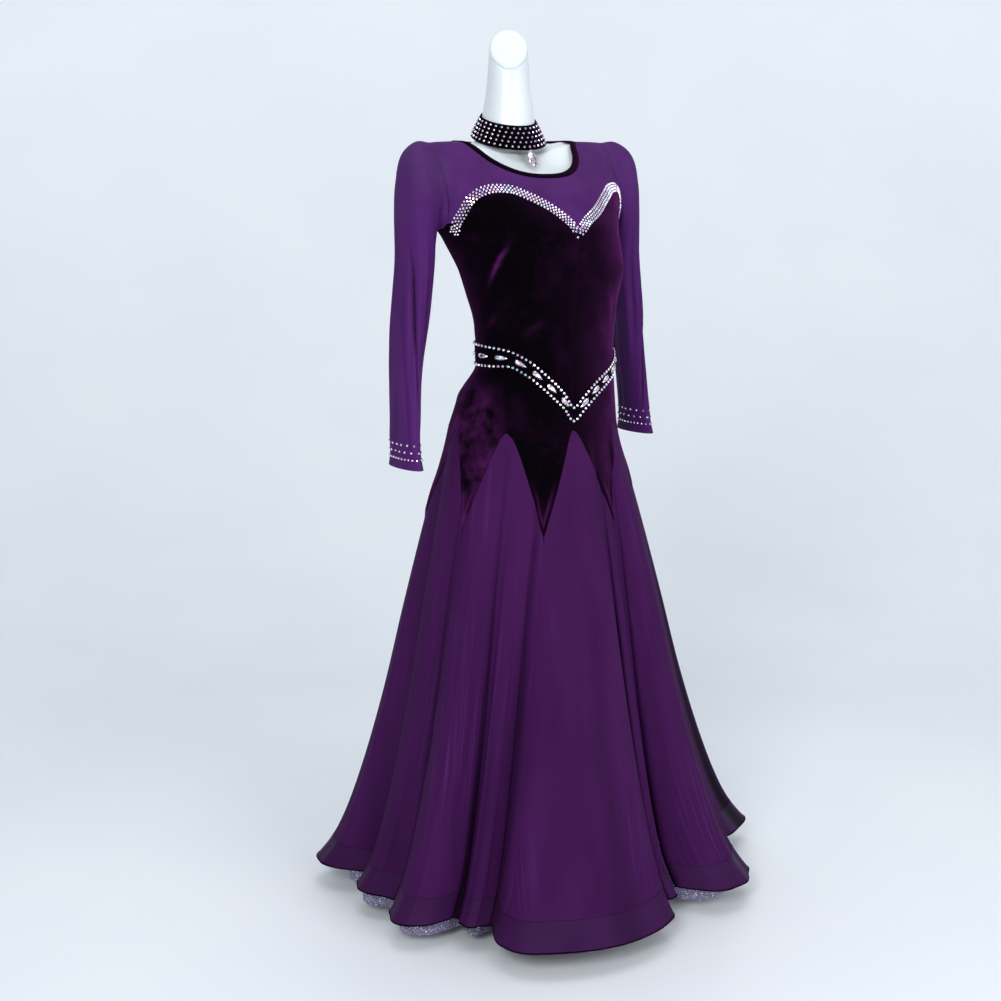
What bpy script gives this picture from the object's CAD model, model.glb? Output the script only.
"""Looks for the ballroom dance dress: fine cloth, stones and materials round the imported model.

Metres, +Z up. The dress faces -Y and the wearer's left is +X. An angle runs round the body in degrees, 0 at
the front and 90 at the wearer's left. A station runs up it: the height up to the shoulders, then even steps
over their tops and up the neck. The tables of sizes are the solids' own.
"""
import math
import random

import bpy
import numpy as np
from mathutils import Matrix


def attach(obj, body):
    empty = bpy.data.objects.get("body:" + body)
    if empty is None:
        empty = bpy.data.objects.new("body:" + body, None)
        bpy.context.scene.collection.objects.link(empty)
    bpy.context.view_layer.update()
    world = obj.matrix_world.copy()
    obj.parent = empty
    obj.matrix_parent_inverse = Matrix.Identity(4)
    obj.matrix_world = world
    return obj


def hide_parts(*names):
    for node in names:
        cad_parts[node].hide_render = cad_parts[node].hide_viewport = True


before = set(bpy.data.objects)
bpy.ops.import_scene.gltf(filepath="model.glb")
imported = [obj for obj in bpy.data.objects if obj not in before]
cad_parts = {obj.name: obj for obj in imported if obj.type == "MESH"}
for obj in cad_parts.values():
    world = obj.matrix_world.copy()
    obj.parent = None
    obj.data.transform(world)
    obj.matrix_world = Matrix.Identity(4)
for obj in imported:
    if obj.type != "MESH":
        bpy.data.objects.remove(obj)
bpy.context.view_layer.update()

# Cloth
CLOTH = 0.0010                            # wall of the velvet, the mesh, the chiffon and the petticoat
TRIM = 0.0012                             # wall of the belt, the binding and the choker
SEAM = 0.0003                             # gap between two pieces at a seam
EASE = 0.0006                             # gap between the figure's surface and the cloth on it
LAY = 0.0005                              # gap between a trim and the cloth that it lies on
SEAM_DIP, SEAM_WIDTH = 0.0003, 0.0016     # how a seam pulls the cloth in, and how far

# Heights
HEM = 0.045                               # bottom of the chiffon
BAND_TOP = 0.088                          # top of the stiffened hem band
PETTICOAT_HEM = 0.020
PETTICOAT_TOP = 0.800
TIP = 0.700                               # dagger points
HIP = 0.872                               # where the godets start
ARMHOLE_FROM = 1.202                      # above this height no cloth passes the armhole's plane
CUFF = 0.815

# Pattern
GORES = 8
GORE = 360 / GORES                        # angle from one godet's top to the next, the first at the front
PANELS = ("front_left", "side_front_left", "side_back_left", "back_left",
          "back_right", "side_back_right", "side_front_right", "front_right")
DAGGERS = (-14, 26, 67.5, 112.5, 157.5, 198, 237, 293, 346)  # angles of the dagger points and gore seams
APEX_SHARE = 0.05                         # a godet's rounded top takes this share of its full width
POINT_SHARE = 0.012                       # a dagger's point takes this share of the gore's width
ARMHOLE_X = 0.181                         # the armhole seam lies in this plane
ABOVE_APEX = 0.0014                       # the panels close over a godet's top within this height
SLEEVE_DROP = 0.007                       # how far the sleeve's foot drops as it turns down
PETTICOAT_GAP = (0.0024, 0.0005)          # how far it hangs inside the skirt, below and at its top
PETTICOAT_NARROW = (0.700, 0.800)         # heights between which this gap narrows
GODET_ARCH = (0.55, 0.45, 0.55)           # a godet's outline: straight and arched share, the arch's power
FOOT_RANGE = (1.20, 1.25)                 # stations between which the armhole's foot lies
SHOULDER_RANGE, TIP_RANGE = (1.34, 1.41), (1.34, 1.39)    # and the shoulder seam and the armhole's top
NECK_ROUND = (2.6, 2.0)                   # how square the neckline is at the front and at the back

# The figure: a row for each section, from the hip up over the shoulders to the top of the neck.
# station, height, half width, y of the widest point, y of the front, y of the back, roundness of the sides
FIGURE = (
    (0.872, 0.872, 0.162, 0.006, -0.106, 0.155, 0.106),
    (0.930, 0.930, 0.149, -0.005, -0.106, 0.110, 0.100),
    (0.990, 0.990, 0.133, -0.028, -0.1055, 0.060, 0.079),
    (1.050, 1.050, 0.136, -0.026, -0.109, 0.056, 0.084),
    (1.100, 1.100, 0.140, -0.014, -0.114, 0.078, 0.098),
    (1.140, 1.140, 0.146, 0.000, -0.118, 0.090, 0.110),
    (1.180, 1.180, 0.162, 0.018, -0.117, 0.100, 0.112),
    (1.210, 1.210, 0.177, 0.030, -0.114, 0.105, 0.095),
    (1.225, 1.225, 0.193, 0.036, -0.104, 0.108, 0.072),
    (1.250, 1.250, 0.211, 0.042, -0.082, 0.112, 0.054),
    (1.280, 1.280, 0.219, 0.045, -0.052, 0.117, 0.046),
    (1.305, 1.305, 0.220, 0.047, -0.022, 0.120, 0.042),
    (1.330, 1.330, 0.214, 0.050, 0.010, 0.121, 0.036),
    (1.350, 1.3485, 0.199, 0.054, 0.034, 0.120, 0.026),
    (1.370, 1.3542, 0.168, 0.060, 0.041, 0.118, 0.024),
    (1.390, 1.3554, 0.128, 0.068, 0.044, 0.119, 0.028),
    (1.410, 1.3563, 0.089, 0.078, 0.049, 0.123, 0.036),
    (1.430, 1.3570, 0.066, 0.086, 0.052, 0.130, 0.041),
    (1.450, 1.3660, 0.0530, 0.087, 0.0450, 0.1355, 0.0445),
    (1.465, 1.3860, 0.0470, 0.0865, 0.0393, 0.1340, 0.0455),
    (1.490, 1.425, 0.0382, 0.086, 0.0465, 0.1240, 0.0382),
    (1.520, 1.467, 0.0335, 0.086, 0.0520, 0.1190, 0.0335),
)
# The same columns for the hips below, down to the form's rounded end
SEAT = (
    (0.700, 0.712, 0.040, 0.004, -0.028, 0.036, 0.030),
    (0.715, 0.714, 0.085, 0.004, -0.060, 0.070, 0.060),
    (0.735, 0.724, 0.122, 0.004, -0.086, 0.100, 0.086),
    (0.765, 0.752, 0.148, 0.003, -0.102, 0.122, 0.102),
    (0.810, 0.805, 0.160, 0.001, -0.110, 0.133, 0.110),
)
# How far the form lies inside the dress, and a ridge on its shoulders: station, depth or share
FORM_SLIM = ((0.70, 0.0040), (1.12, 0.0045), (1.18, 0.0060), (1.22, 0.0065), (1.27, 0.0065), (1.33, 0.0055),
             (1.350, 0.0035), (1.390, 0.0030), (1.41, 0.0025), (1.428, 0.0), (1.52, 0.0))
RIDGE = ((1.335, 0.0), (1.345, 1.0), (1.400, 1.0), (1.412, 0.0))
RIDGE_SPREAD = 7.0                        # angle within which the form touches the cloth on its shoulders
# The plate on the neck: share of the rim and rise of its steps, and the height of its middle
NECK_PLATE = ((0.975, SEAM), (0.985, 0.0012), (0.975, 0.0024), (0.94, 0.0036), (0.88, 0.0046),
              (0.70, 0.0060), (0.45, 0.0069), (0.20, 0.0073))
NECK_PLATE_TOP = 0.0074
# The throat's hollow: station, depth
THROAT = ((1.300, 0.0), (1.345, 0.016), (1.428, 0.016), (1.482, 0.0))
NECK_TURN = 32.0                          # way that the neck's top leans, from the front
THROAT_WIDTH = 0.075                      # how wide the hollow is
THROAT_Y = (0.105, 0.050)                 # y where the hollow starts and where it is full
# The bust's swells: angle to either side, station, height, spread in degrees and in height
BUST = ((40.0, 1.142, 0.017, 24.0, 0.048), (31.0, 1.262, 0.016, 20.0, 0.060))
BUST_ABOVE, BUST_BELOW = 1.1, 0.85        # how fast a swell ends above and below its middle

# The skirt's big flutes: cloth angle at the hip, angle at the hem, distance from the axis at the hem
FLUTES = (
    (-180.0, -176.0, 0.300),
    (-164.0, -163.0, 0.390),
    (-148.0, -149.0, 0.305),
    (-123.0, -128.5, 0.398),
    (-114.0, -121.0, 0.370),
    (-105.0, -115.0, 0.302),
    (-91.0, -104.0, 0.330),
    (-73.0, -91.0, 0.292),
    (-58.0, -78.0, 0.345),
    (-50.0, -71.0, 0.322),
    (-43.0, -65.5, 0.264),
    (-31.0, -58.5, 0.288),
    (-20.5, -51.0, 0.268),
    (-15.5, -46.0, 0.330),
    (-9.5, -37.0, 0.361),
    (-1.0, -18.0, 0.358),
    (6.0, 1.0, 0.341),
    (11.0, 10.5, 0.318),
    (15.5, 16.5, 0.266),
    (21.0, 22.0, 0.281),
    (24.0, 24.4, 0.279),
    (30.0, 29.2, 0.264),
    (33.0, 30.8, 0.264),
    (37.0, 33.2, 0.340),
    (42.0, 37.5, 0.368),
    (46.0, 42.5, 0.386),
    (52.0, 50.0, 0.388),
    (61.0, 62.0, 0.300),
    (78.0, 82.0, 0.462),
    (96.0, 99.0, 0.310),
    (112.0, 114.0, 0.410),
    (130.0, 131.0, 0.305),
    (148.0, 147.0, 0.400),
    (164.0, 164.0, 0.310),
)
# How a flute spreads from the hip to the hem: share of the way down, share of the spread
FLARE = ((0.0, 0.0), (0.05, 0.038), (0.1, 0.085), (0.2, 0.176), (0.4, 0.345), (0.6, 0.506), (0.8, 0.703),
         (0.9, 0.828), (1.0, 1.0))
KICK = 0.010                              # how far the stiffened hem stands out
KICK_HEIGHT = 0.060                       # height below which it does
# How far the petticoat's hem lies inside the skirt's: angle, distance
UNDER = ((-180, 0.040), (-150, 0.050), (-123, 0.075), (-110, 0.020), (-87, 0.006), (-70, 0.014),
         (-50, 0.018), (-30, 0.020), (-12, 0.060), (5, 0.060), (16, 0.016), (30, 0.024), (46, 0.040),
         (60, 0.024), (80, 0.045), (120, 0.040), (180, 0.040))
# The velvet's upper edge, front and back: angle, height
SWEETHEART = ((-60, 1.226), (-51, 1.238), (-42.5, 1.259), (-36, 1.271), (-29.5, 1.275), (-23, 1.273),
              (-18, 1.264), (-12.5, 1.252), (-7.5, 1.237), (-3.5, 1.221), (0, 1.206), (8, 1.221),
              (16.5, 1.237), (24.5, 1.256), (32, 1.270), (37, 1.273), (44, 1.270), (52, 1.257),
              (58, 1.243), (65, 1.2285))
BACK_EDGE = ((120, 1.228), (145, 1.238), (165, 1.232), (180, 1.226))
FOOT = 72                                 # angle of the armhole's foot, and the same behind the side
# The belt: angle, height of its lower and of its upper edge
BELT = ((-180, 0.984, 1.022), (-110, 0.984, 1.024), (-75, 0.985, 1.021), (-57, 0.986, 1.016),
        (-38, 0.970, 0.998), (-27, 0.953, 0.980), (-15, 0.929, 0.957), (-7, 0.910, 0.938), (0, 0.888, 0.914),
        (8, 0.904, 0.930), (20, 0.926, 0.951), (33, 0.942, 0.965), (47, 0.954, 0.976), (60, 0.963, 0.986),
        (80, 0.974, 1.003), (110, 0.982, 1.020), (180, 0.984, 1.022))
BELT_STONES = 10                          # teardrop stones on each side of the V
BELT_FIRST, BELT_LAST = 0.030, 0.045      # from the V to the first stone, from the last to the back's middle
BELT_STONE = (0.0220, 0.0104, 0.0038)     # length, width, height
NECKLINE = (1.3015, 1.400, 1.372)         # station at the front, at the shoulders and at the back
NECKLINE_RIGHT = 1.396                    # station at the right shoulder
BINDING = (0.0068, 0.0052, 0.011)         # width of the neckline binding in stations there
# The sleeve's head: turn of the section, reach, half depth, share of the way from the seam to the oval
HEAD = (
    (0.0, 0.000, 0.000, 0.00),
    (10.0, 0.1460, 0.047, 0.40),
    (19.0, 0.1395, 0.049, 0.80),
    (32.0, 0.1060, 0.049, 1.00),
    (55.0, 0.0710, 0.048, 1.00),
    (90.0, 0.0570, 0.047, 1.00),
)
# The sleeve: height, middle x, middle y, half width, half depth, dent
SLEEVE = (
    (1.160, 0.2180, 0.0480, 0.0270, 0.0455, 0.0030),
    (1.110, 0.2240, 0.0470, 0.0250, 0.0440, 0.0060),
    (1.055, 0.2320, 0.0455, 0.0225, 0.0430, 0.0075),
    (1.000, 0.2390, 0.0440, 0.0190, 0.0405, 0.0060),
    (0.945, 0.2435, 0.0405, 0.0175, 0.0400, 0.0045),
    (0.895, 0.2470, 0.0370, 0.0165, 0.0405, 0.0050),
    (0.855, 0.2500, 0.0345, 0.0155, 0.0420, 0.0025),
    (0.838, 0.2502, 0.0325, 0.0148, 0.0430, 0.0010),
    (CUFF, 0.2505, 0.0310, 0.0165, 0.0485, 0.0000),
)
SLEEVE_CREASE, SLEEVE_CREASE_SPREAD = 155.0, 26.0    # turn and spread of the sleeve's long dent
SLEEVE_RADIUS = 0.034                     # radius that its creases' turns are measured on
CUFF_FLAT = (0.820, 0.840)                # heights between which the creases start
LEFT_LIFT = 0.016                         # the left cuff hangs higher by this much
CHOKER_MIDDLE = (0.086, 1.3955)           # y, and height of its upper edge
CHOKER_TILT = (0.055, 0.28)               # up to the wearer's left, down to the front
CHOKER_RADII = (0.0475, 0.0645)           # upper, lower
CHOKER_HEIGHT = 0.035
PENDANT = (0.0210, 0.0320, 0.0042)        # width, length, half thickness
PENDANT_LEAN = 34.0                       # it lies forward on the chest by this angle
PENDANT_GAP = 0.0009                      # from the choker's edge
PENDANT_SWAY = 0.10                       # and to the wearer's right
# The pendant's outline: share of its length, share of its width
DROP = ((0.00, 0.14), (0.16, 0.50), (0.38, 0.88), (0.64, 1.00), (0.87, 0.68), (1.00, 0.20))

# Creases in the velvet: angle and station of one end, of the other, width and height (below 0 is a trough)
VELVET_CREASES = (
    (-39, 1.194, -67, 1.120, 0.0036, 0.0042),
    (-45, 1.190, -72, 1.124, 0.0050, -0.0014),
    (-24, 1.065, -44, 1.040, 0.0070, 0.0014),
    (-20, 1.040, -40, 1.018, 0.0060, -0.0012),
    (24, 1.120, 40, 1.058, 0.0080, 0.0020),
    (34, 1.095, 52, 1.046, 0.0070, -0.0014),
    (16, 1.060, 36, 1.030, 0.0070, 0.0014),
    (-62, 1.080, -82, 1.040, 0.0070, 0.0016),
    (-70, 1.050, -96, 1.030, 0.0060, -0.0012),
    (62, 1.080, 84, 1.044, 0.0070, 0.0016),
    (72, 1.052, 98, 1.032, 0.0060, -0.0012),
    (-100, 1.180, -112, 1.090, 0.0080, 0.0020),
    (104, 1.175, 116, 1.085, 0.0080, 0.0020),
    (-130, 1.075, -152, 1.038, 0.0080, 0.0018),
    (134, 1.070, 156, 1.040, 0.0080, 0.0018),
    (-170, 1.060, -196, 1.045, 0.0070, 0.0016),
    (-60, 0.930, -86, 0.905, 0.0080, 0.0014),
    (-30, 0.915, -50, 0.890, 0.0080, -0.0012),
    (30, 0.930, 56, 0.902, 0.0080, 0.0014),
    (70, 0.925, 96, 0.900, 0.0080, -0.0012),
    (-110, 0.935, -136, 0.910, 0.0080, 0.0014),
    (116, 0.932, 140, 0.908, 0.0080, 0.0014),
)
# Finer folds in the skirt: cloth angle, its width, height at the hem (below 0 is a trough), start, end
SKIRT_FOLDS = (
    (180, 2.0, -0.008, 0.84, 0.05),
    (-171, 2.2, 0.006, 0.80, 0.05),
    (-156, 1.8, 0.005, 0.76, 0.20),
    (-148, 2.0, -0.009, 0.84, 0.05),
    (-138, 2.4, 0.006, 0.80, 0.05),
    (-129, 1.6, -0.004, 0.70, 0.10),
    (-116, 2.0, 0.005, 0.78, 0.05),
    (-105, 1.4, -0.0080, 0.86, 0.05),
    (-96, 1.6, 0.004, 0.76, 0.10),
    (-84, 1.5, 0.004, 0.72, 0.05),
    (-73, 1.2, -0.0080, 0.86, 0.05),
    (-65, 1.4, 0.004, 0.74, 0.15),
    (-54, 1.4, 0.004, 0.76, 0.10),
    (-43, 1.2, -0.0080, 0.86, 0.05),
    (-36, 1.2, 0.004, 0.76, 0.15),
    (-28, 1.2, 0.003, 0.70, 0.10),
    (-20.5, 0.8, -0.0060, 0.85, 0.05),
    (-6, 2.2, 0.003, 0.72, 0.20),
    (2.5, 2.0, -0.003, 0.66, 0.25),
    (11, 1.6, 0.005, 0.80, 0.05),
    (18.3, 0.60, -0.0130, 0.87, 0.05),
    (23, 1.6, 0.004, 0.82, 0.05),
    (33.2, 0.55, -0.0110, 0.87, 0.05),
    (40, 1.8, 0.004, 0.76, 0.10),
    (50, 2.2, -0.004, 0.74, 0.15),
    (57, 1.3, -0.0120, 0.85, 0.05),
    (70, 2.0, 0.005, 0.74, 0.05),
    (74, 2.6, -0.0080, 0.84, 0.12),
    (86, 1.8, -0.005, 0.76, 0.15),
    (96, 2.0, -0.009, 0.84, 0.05),
    (104, 2.2, 0.005, 0.78, 0.05),
    (121, 2.0, -0.004, 0.74, 0.15),
    (130, 2.0, -0.010, 0.84, 0.05),
    (140, 2.2, 0.006, 0.78, 0.05),
    (155, 2.0, -0.004, 0.76, 0.10),
    (164, 2.0, -0.009, 0.84, 0.05),
    (172, 2.2, 0.005, 0.80, 0.05),
)
# Creases in a sleeve: height and turn of one end, of the other, width and height. A turn is 0 outwards,
# 90 to the back and -90 to the front.
SLEEVE_CREASES = (
    (1.235, -46, 0.900, -104, 0.0060, 0.0034),
    (1.215, -24, 1.025, -66, 0.0034, -0.0060),
    (1.075, -54, 0.885, -122, 0.0034, -0.0060),
    (1.175, -8, 0.850, -49, 0.0050, -0.0042),
    (1.200, -22, 0.900, -36, 0.0075, 0.0028),
    (1.180, -34, 0.960, -62, 0.0050, -0.0020),
    (1.240, -88, 1.010, -122, 0.0050, -0.0031),
    (1.325, -92, 1.200, -136, 0.0045, 0.0031),
    (1.285, -116, 1.185, -152, 0.0040, -0.0028),
    (1.150, -130, 0.940, -150, 0.0060, 0.0036),
    (1.020, -92, 0.860, -84, 0.0060, -0.0028),
    (1.215, 24, 0.900, 52, 0.0065, 0.0039),
    (1.180, 58, 0.930, 88, 0.0055, -0.0034),
    (1.235, 104, 1.010, 126, 0.0060, 0.0042),
    (1.120, 146, 0.880, 118, 0.0055, -0.0031),
    (1.300, 96, 1.195, 140, 0.0045, 0.0031),
    (1.060, 172, 0.850, 168, 0.0055, 0.0031),
    (0.960, -4, 0.840, 10, 0.0060, -0.0025),
)
# Soft pulls in the mesh yokes: as the velvet's creases
YOKE_CREASES = (
    (-60, 1.235, -32, 1.330, 0.0060, 0.0014),
    (-66, 1.262, -58, 1.322, 0.0050, -0.0010),
    (40, 1.300, 56, 1.262, 0.0035, 0.0012),
    (60, 1.240, 40, 1.330, 0.0060, 0.0012),
    (-116, 1.250, -140, 1.320, 0.0070, 0.0014),
    (116, 1.250, 140, 1.320, 0.0070, 0.0014),
    (-168, 1.245, -192, 1.262, 0.0070, 0.0012),
)

# Small stones: the band on the sweetheart edge
BAND_ROWS = 4
BAND_SPACING = 0.0047                     # between its rows
BAND_PITCH = 0.0064                       # along a row
BAND_STONE = 0.0043
BAND_LEAST = 0.94 * BAND_STONE            # a stone closer than this to an earlier one is left out
BAND_REACH = (-8, 75)                     # angles of one side's rows before they are cut at the middle
# The band's middle: angle, height
BAND = ((-75, 1.206), (-60, 1.226), (-51, 1.241), (-42.5, 1.263), (-36, 1.275), (-29.5, 1.279), (-23, 1.277),
        (-18, 1.268), (-12.5, 1.256), (-7.5, 1.241), (-3.5, 1.225), (0, 1.209), (8, 1.225), (16.5, 1.241),
        (24.5, 1.261), (33, 1.276), (40, 1.278), (51.5, 1.266), (58, 1.250), (66, 1.229), (75, 1.206))
BELT_PITCH = 0.0083                       # between the round stones along an edge
BELT_ROUND = 0.0054                       # size of one
BELT_LEAST = 0.6 * BELT_PITCH
BELT_EDGES = (0.055, 0.945)               # shares of the belt's width at which the round stones run
BELT_SEATS = (0.0003, 0.0006)             # how far the round stones and the teardrops stand off the belt
CHOKER_ROWS, CHOKER_SPREAD = 5, (0.12, 0.88)
CHOKER_PITCH = 0.0104                     # between the stones of a row
CHOKER_STONE = 0.0042
# Cuff stones: height above the cuff's edge, pitch, share of the pitch that the row is shifted
CUFF_ROWS = ((0.0170, 0.0082, 0.0), (0.0290, 0.0135, 0.25), (0.0410, 0.0135, 0.75))
CUFF_STONE = 0.0042

FOLD_GROWTH = 0.8                         # how the skirt's finer folds deepen downwards
CREASE_ENDS = (0.62, 1.5)                 # half a crease's length as a share of its run, and how it ends
BELT_CALM = (0.021, 0.051)                # distances from the belt's middle where the velvet's creases start
EDGE_CALM = 0.020                         # height over which they end below the velvet's upper edge
YOKE_CALM = (1.352, 1.332)                # stations between which the yokes' creases start
SLEEVE_CALM = (3, 11)                     # rings from the armhole between which the sleeve's creases start
RIGHT_SLEEVE = (0.9, 0.012)               # the right sleeve's creases: strength, and how much lower
NAP_RIDGE = 0.004                         # ridge on which a velvet's pile stands fully open
HOLLOW = 0.007                            # depth of a fold in which a cloth is at its darkest
ROLL = (0.0070, 0.0030, 0.0030)           # soft roll along a dagger's edges: how far in, width, height
ROLL_END = (0.800, 0.750)                 # heights between which it ends
PIPING, PIPING_RISE = 0.0013, 0.6         # radius of the hem's piped edge, and its height in radii
HEM_SEAM, HEM_SEAM_DOWN = 0.0003, 0.0012  # radius of the hem band's upper seam, and how far below its edge
BINDING_ROLL = (0.0002, 0.0011)           # what the neckline's binding is thicker at its edges and between
BELT_PAD, CHOKER_PAD = 0.0006, 0.0005     # how much thicker these are along their middles
SEAM_CORD, SEAM_CORD_IN = 0.0009, 0.0004  # radius of an armhole's seam, and how far it lies inwards
SEAM_DEPTH = 0.25                         # share of the sleeve's wall between its outside and the seam
STONE_SEAT = 0.0004                       # how far a small stone stands off its cloth
# Rings of a round stone, as shares of its size: radius, height and shift; of a teardrop: size and height
ROUND_CUT = ((0.46, 0.0, 0.0), (0.50, 0.10, 0.0), (0.27, 0.42, 0.5))
PEAR_CUT = ((0.94, 0.0), (1.0, 0.16), (0.78, 0.62), (0.42, 1.0))
PEAR_TAPER, PEAR_POWER = 0.52, 1.4        # how a teardrop narrows to its point
SIDEWAYS = (0.31, 0.17, 0.93)             # a direction that no stone faces
NECK_Y = 0.086                            # middle of the neck
NECK_SLANT = (1.43, 1.52, 0.045, 1.02)    # stations between which the neck's top leans, rise, lean
BAIL, BAIL_SIZE, BAIL_DROP = 0.0004, (0.0022, 0.0024), 0.0012    # the pendant's ring: wire, size, drop
BEAD = 0.0036                             # bead at the pendant's foot
RIPPLE = (0.16, 0.02, 0.0035, 47)         # petticoat's ripple: where it starts and is full, depth, waves
ZIP_TEETH = 0.0026                        # length of one tooth with its gap
ZIP_TOOTH = (0.0011, 0.00078, 0.0010)     # half its width and length, and its height
ZIP_ENDS = (0.905, 1.190)

# How fine the meshes are: columns round the body, then rows up it
PANEL_COLUMNS, PANEL_ROWS = 23, (27, 61)  # rows below the hip and above it
GORE_COLUMNS, GORE_ROWS = 91, (46, 25)    # rows below the velvet's tips and above them
HEM_ROWS = 9
PETTICOAT_COLUMNS, PETTICOAT_ROWS = 480, (14, 12)
PETTICOAT_SPLIT = 0.30                    # height below which its rows are closer
YOKE_COLUMNS, YOKE_ROWS = (20, 21), 33    # columns along the neckline and along the shoulder
YOKE_CROWD = 1.3                          # how much closer the yokes' rows get towards the neckline
BINDING_COLUMNS, BINDING_ROWS = 61, 7
BELT_STEP, BELT_ROWS = 1.5, 9             # degrees from column to column
SLEEVE_SIDES, SLEEVE_STEPS = 72, 7        # steps between two sections
FORM_SIDES, FORM_ROWS = 96, ((0.700, 0.80, 12), (0.80, 1.30, 46), (1.30, 1.52, 56))
CHOKER_SIDES, CHOKER_LEVELS = 144, 11
CHOKER_FINE, BELT_FINE, BAND_FINE, ZIP_FINE = 720, 721, 901, 2001
PENDANT_SIDES, PENDANT_ROWS = 16, (0.0, 0.10, 0.24, 0.42, 0.62, 0.80, 0.93, 1.0)
ROUND_SIDES, PEAR_SIDES, BAIL_SIDES = 8, 20, 24
SEAM_STEPS = 120                          # points along an armhole's edge
FINE_CORD, CORD = 6, 8                    # sides of a thin and of a thicker cord

# Seeds for the stones' colours, and the colours drawn from: the more often named, the likelier
SWEETHEART_SEED, BELT_SEED, CHOKER_SEED, BEAD_SEED, PEAR_SEED, CUFF_SEED = 1, 2, 5, 8, 11, 21
ROUND_MIX, SPARK_MIX = (0, 0, 0, 1, 1, 2, 2, 3, 4), (0, 1, 2, 3)
SAME_LOOK = 0.75                          # share of a round stone's facets in its own colour
PEAR_MIX, DROP_MIX = (0, 0, 5, 3, 5, 1, 2, 4), (5, 5, 5, 0, 1, 2, 4)


def smooth(xs, ys, x):
    """A smooth curve through the points (xs, ys), read at x, that overshoots none of them."""
    xs, ys = np.asarray(xs, float), np.asarray(ys, float)
    x = np.clip(x, xs[0], xs[-1])
    steps = np.diff(xs)
    slopes = np.diff(ys) / steps
    tangents = np.zeros_like(ys)
    tangents[0], tangents[-1] = slopes[0], slopes[-1]
    same_way = slopes[:-1] * slopes[1:] > 0
    w1, w2 = 2 * steps[1:] + steps[:-1], steps[1:] + 2 * steps[:-1]
    safe = np.where(same_way, slopes[:-1] * slopes[1:], 1.0)
    mean = (w1 + w2) * safe / (w1 * np.where(same_way, slopes[1:], 1)
                               + w2 * np.where(same_way, slopes[:-1], 1))
    tangents[1:-1] = np.where(same_way, mean, 0.0)
    i = np.clip(np.searchsorted(xs, x, side="right") - 1, 0, len(steps) - 1)
    u = (x - xs[i]) / steps[i]
    return ((2 * u**3 - 3 * u**2 + 1) * ys[i] + (u**3 - 2 * u**2 + u) * steps[i] * tangents[i]
            + (3 * u**2 - 2 * u**3) * ys[i + 1] + (u**3 - u**2) * steps[i] * tangents[i + 1])


def curve(rows, x, column=1):
    """A smooth curve through a table's rows: the column given against the first."""
    table = np.array(rows, float)
    return smooth(table[:, 0], table[:, column], x)


def progress(value, start, end):
    """How far a value is on the way from the start to the end, from 0 to 1."""
    return np.clip((value - start) / (end - start), 0, 1)


def wrap(angle):
    """The same angle between -180 and 180."""
    return (np.asarray(angle, float) + 180.0) % 360.0 - 180.0


def unit(vectors):
    """The vectors at length 1."""
    return vectors / np.linalg.norm(vectors, axis=-1, keepdims=True)


def spokes(aside, above, turn):
    """Directions round each place, at each turn from one way aside to the other."""
    return aside[:, None] * np.cos(turn)[None, :, None] + above[:, None] * np.sin(turn)[None, :, None]


def tube_normals(grid):
    """The direction out at each point of a grid of columns round a tube."""
    return unit(np.cross(np.roll(grid, -1, 0) - np.roll(grid, 1, 0), np.gradient(grid, axis=1)))


def section_point(rows, angle, station):
    """A point of the figure whose sections are the rows."""
    height, half, middle, front, back, side = (curve(rows, station, column) for column in range(1, 7))
    a = np.radians(angle)
    cosine = np.cos(a)
    reach = np.where(cosine > 0, middle - front, back - middle)
    side = np.minimum(side, reach)
    depth = side * cosine + (reach - side) * cosine**3
    return np.stack([half * np.sin(a), middle - depth, height], -1)


def bust(angle, station):
    """How far the bust swells out of the section there."""
    swell = 0.0
    for side, level, height, spread, tall in BUST:
        around = (np.abs(wrap(angle)) - side) / spread
        up = (station - level) / tall
        swell = swell + height * np.exp(-around**2 - np.where(up > 0, up * BUST_ABOVE, up * BUST_BELOW)**2)
    return swell


def figure(angle, station):
    """A point of the figure, with the bust."""
    point = section_point(FIGURE, angle, station)
    swell = bust(angle, station)
    a = np.radians(angle)
    out = np.stack([np.sin(a), -np.cos(a), np.zeros_like(a + station)], -1)
    return point + out * swell[..., None]


def skirt(angle, height, inset=0.0):
    """A point of the skirt: straight flutes from the hip's oval to the hem's flutes, or inside them."""
    table = np.array(FLUTES)
    turn = np.concatenate([table - [360, 0, 0] - [0, 360, 0], table, table + [360, 360, 0]])
    angle = wrap(angle)
    hem_angle = np.radians(curve(turn, angle))
    reach = curve(turn, angle, 2) - inset
    flare = curve(FLARE, (HIP - height) / (HIP - HEM))
    kick = KICK * progress(height, HEM + KICK_HEIGHT, HEM)**2
    top = section_point(FIGURE, angle, np.full_like(angle, HIP))
    low = np.stack([(reach + kick) * np.sin(hem_angle), -(reach + kick) * np.cos(hem_angle), 0 * angle], -1)
    point = top + (low - top) * flare[..., None]
    point[..., 2] = height
    return point


def surface(angle, station):
    """The dress's own surface: the figure above the hip and the skirt below it."""
    angle, station = np.broadcast_arrays(np.asarray(angle, float), np.asarray(station, float))
    upper = figure(angle, np.maximum(station, HIP))
    lower = skirt(angle, np.minimum(station, HIP))
    return np.where((station >= HIP)[..., None], upper, lower)


def outward(shape, angle, station, step=0.0008):
    """The direction out of a shape at each point of it."""
    round_it = shape(angle + 0.25, station) - shape(angle - 0.25, station)
    up_it = shape(angle, station + step) - shape(angle, station - step)
    return unit(np.cross(round_it, up_it))


def half_width(station):
    """The figure's half width at a station."""
    return curve(FIGURE, station, 2)


def station_of_width(width, low, high):
    """The station between two others where the figure's half width is the one given."""
    stations = np.linspace(low, high, 400)
    widths = half_width(stations)
    order = np.argsort(widths)
    return np.interp(width, widths[order], stations[order])


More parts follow.
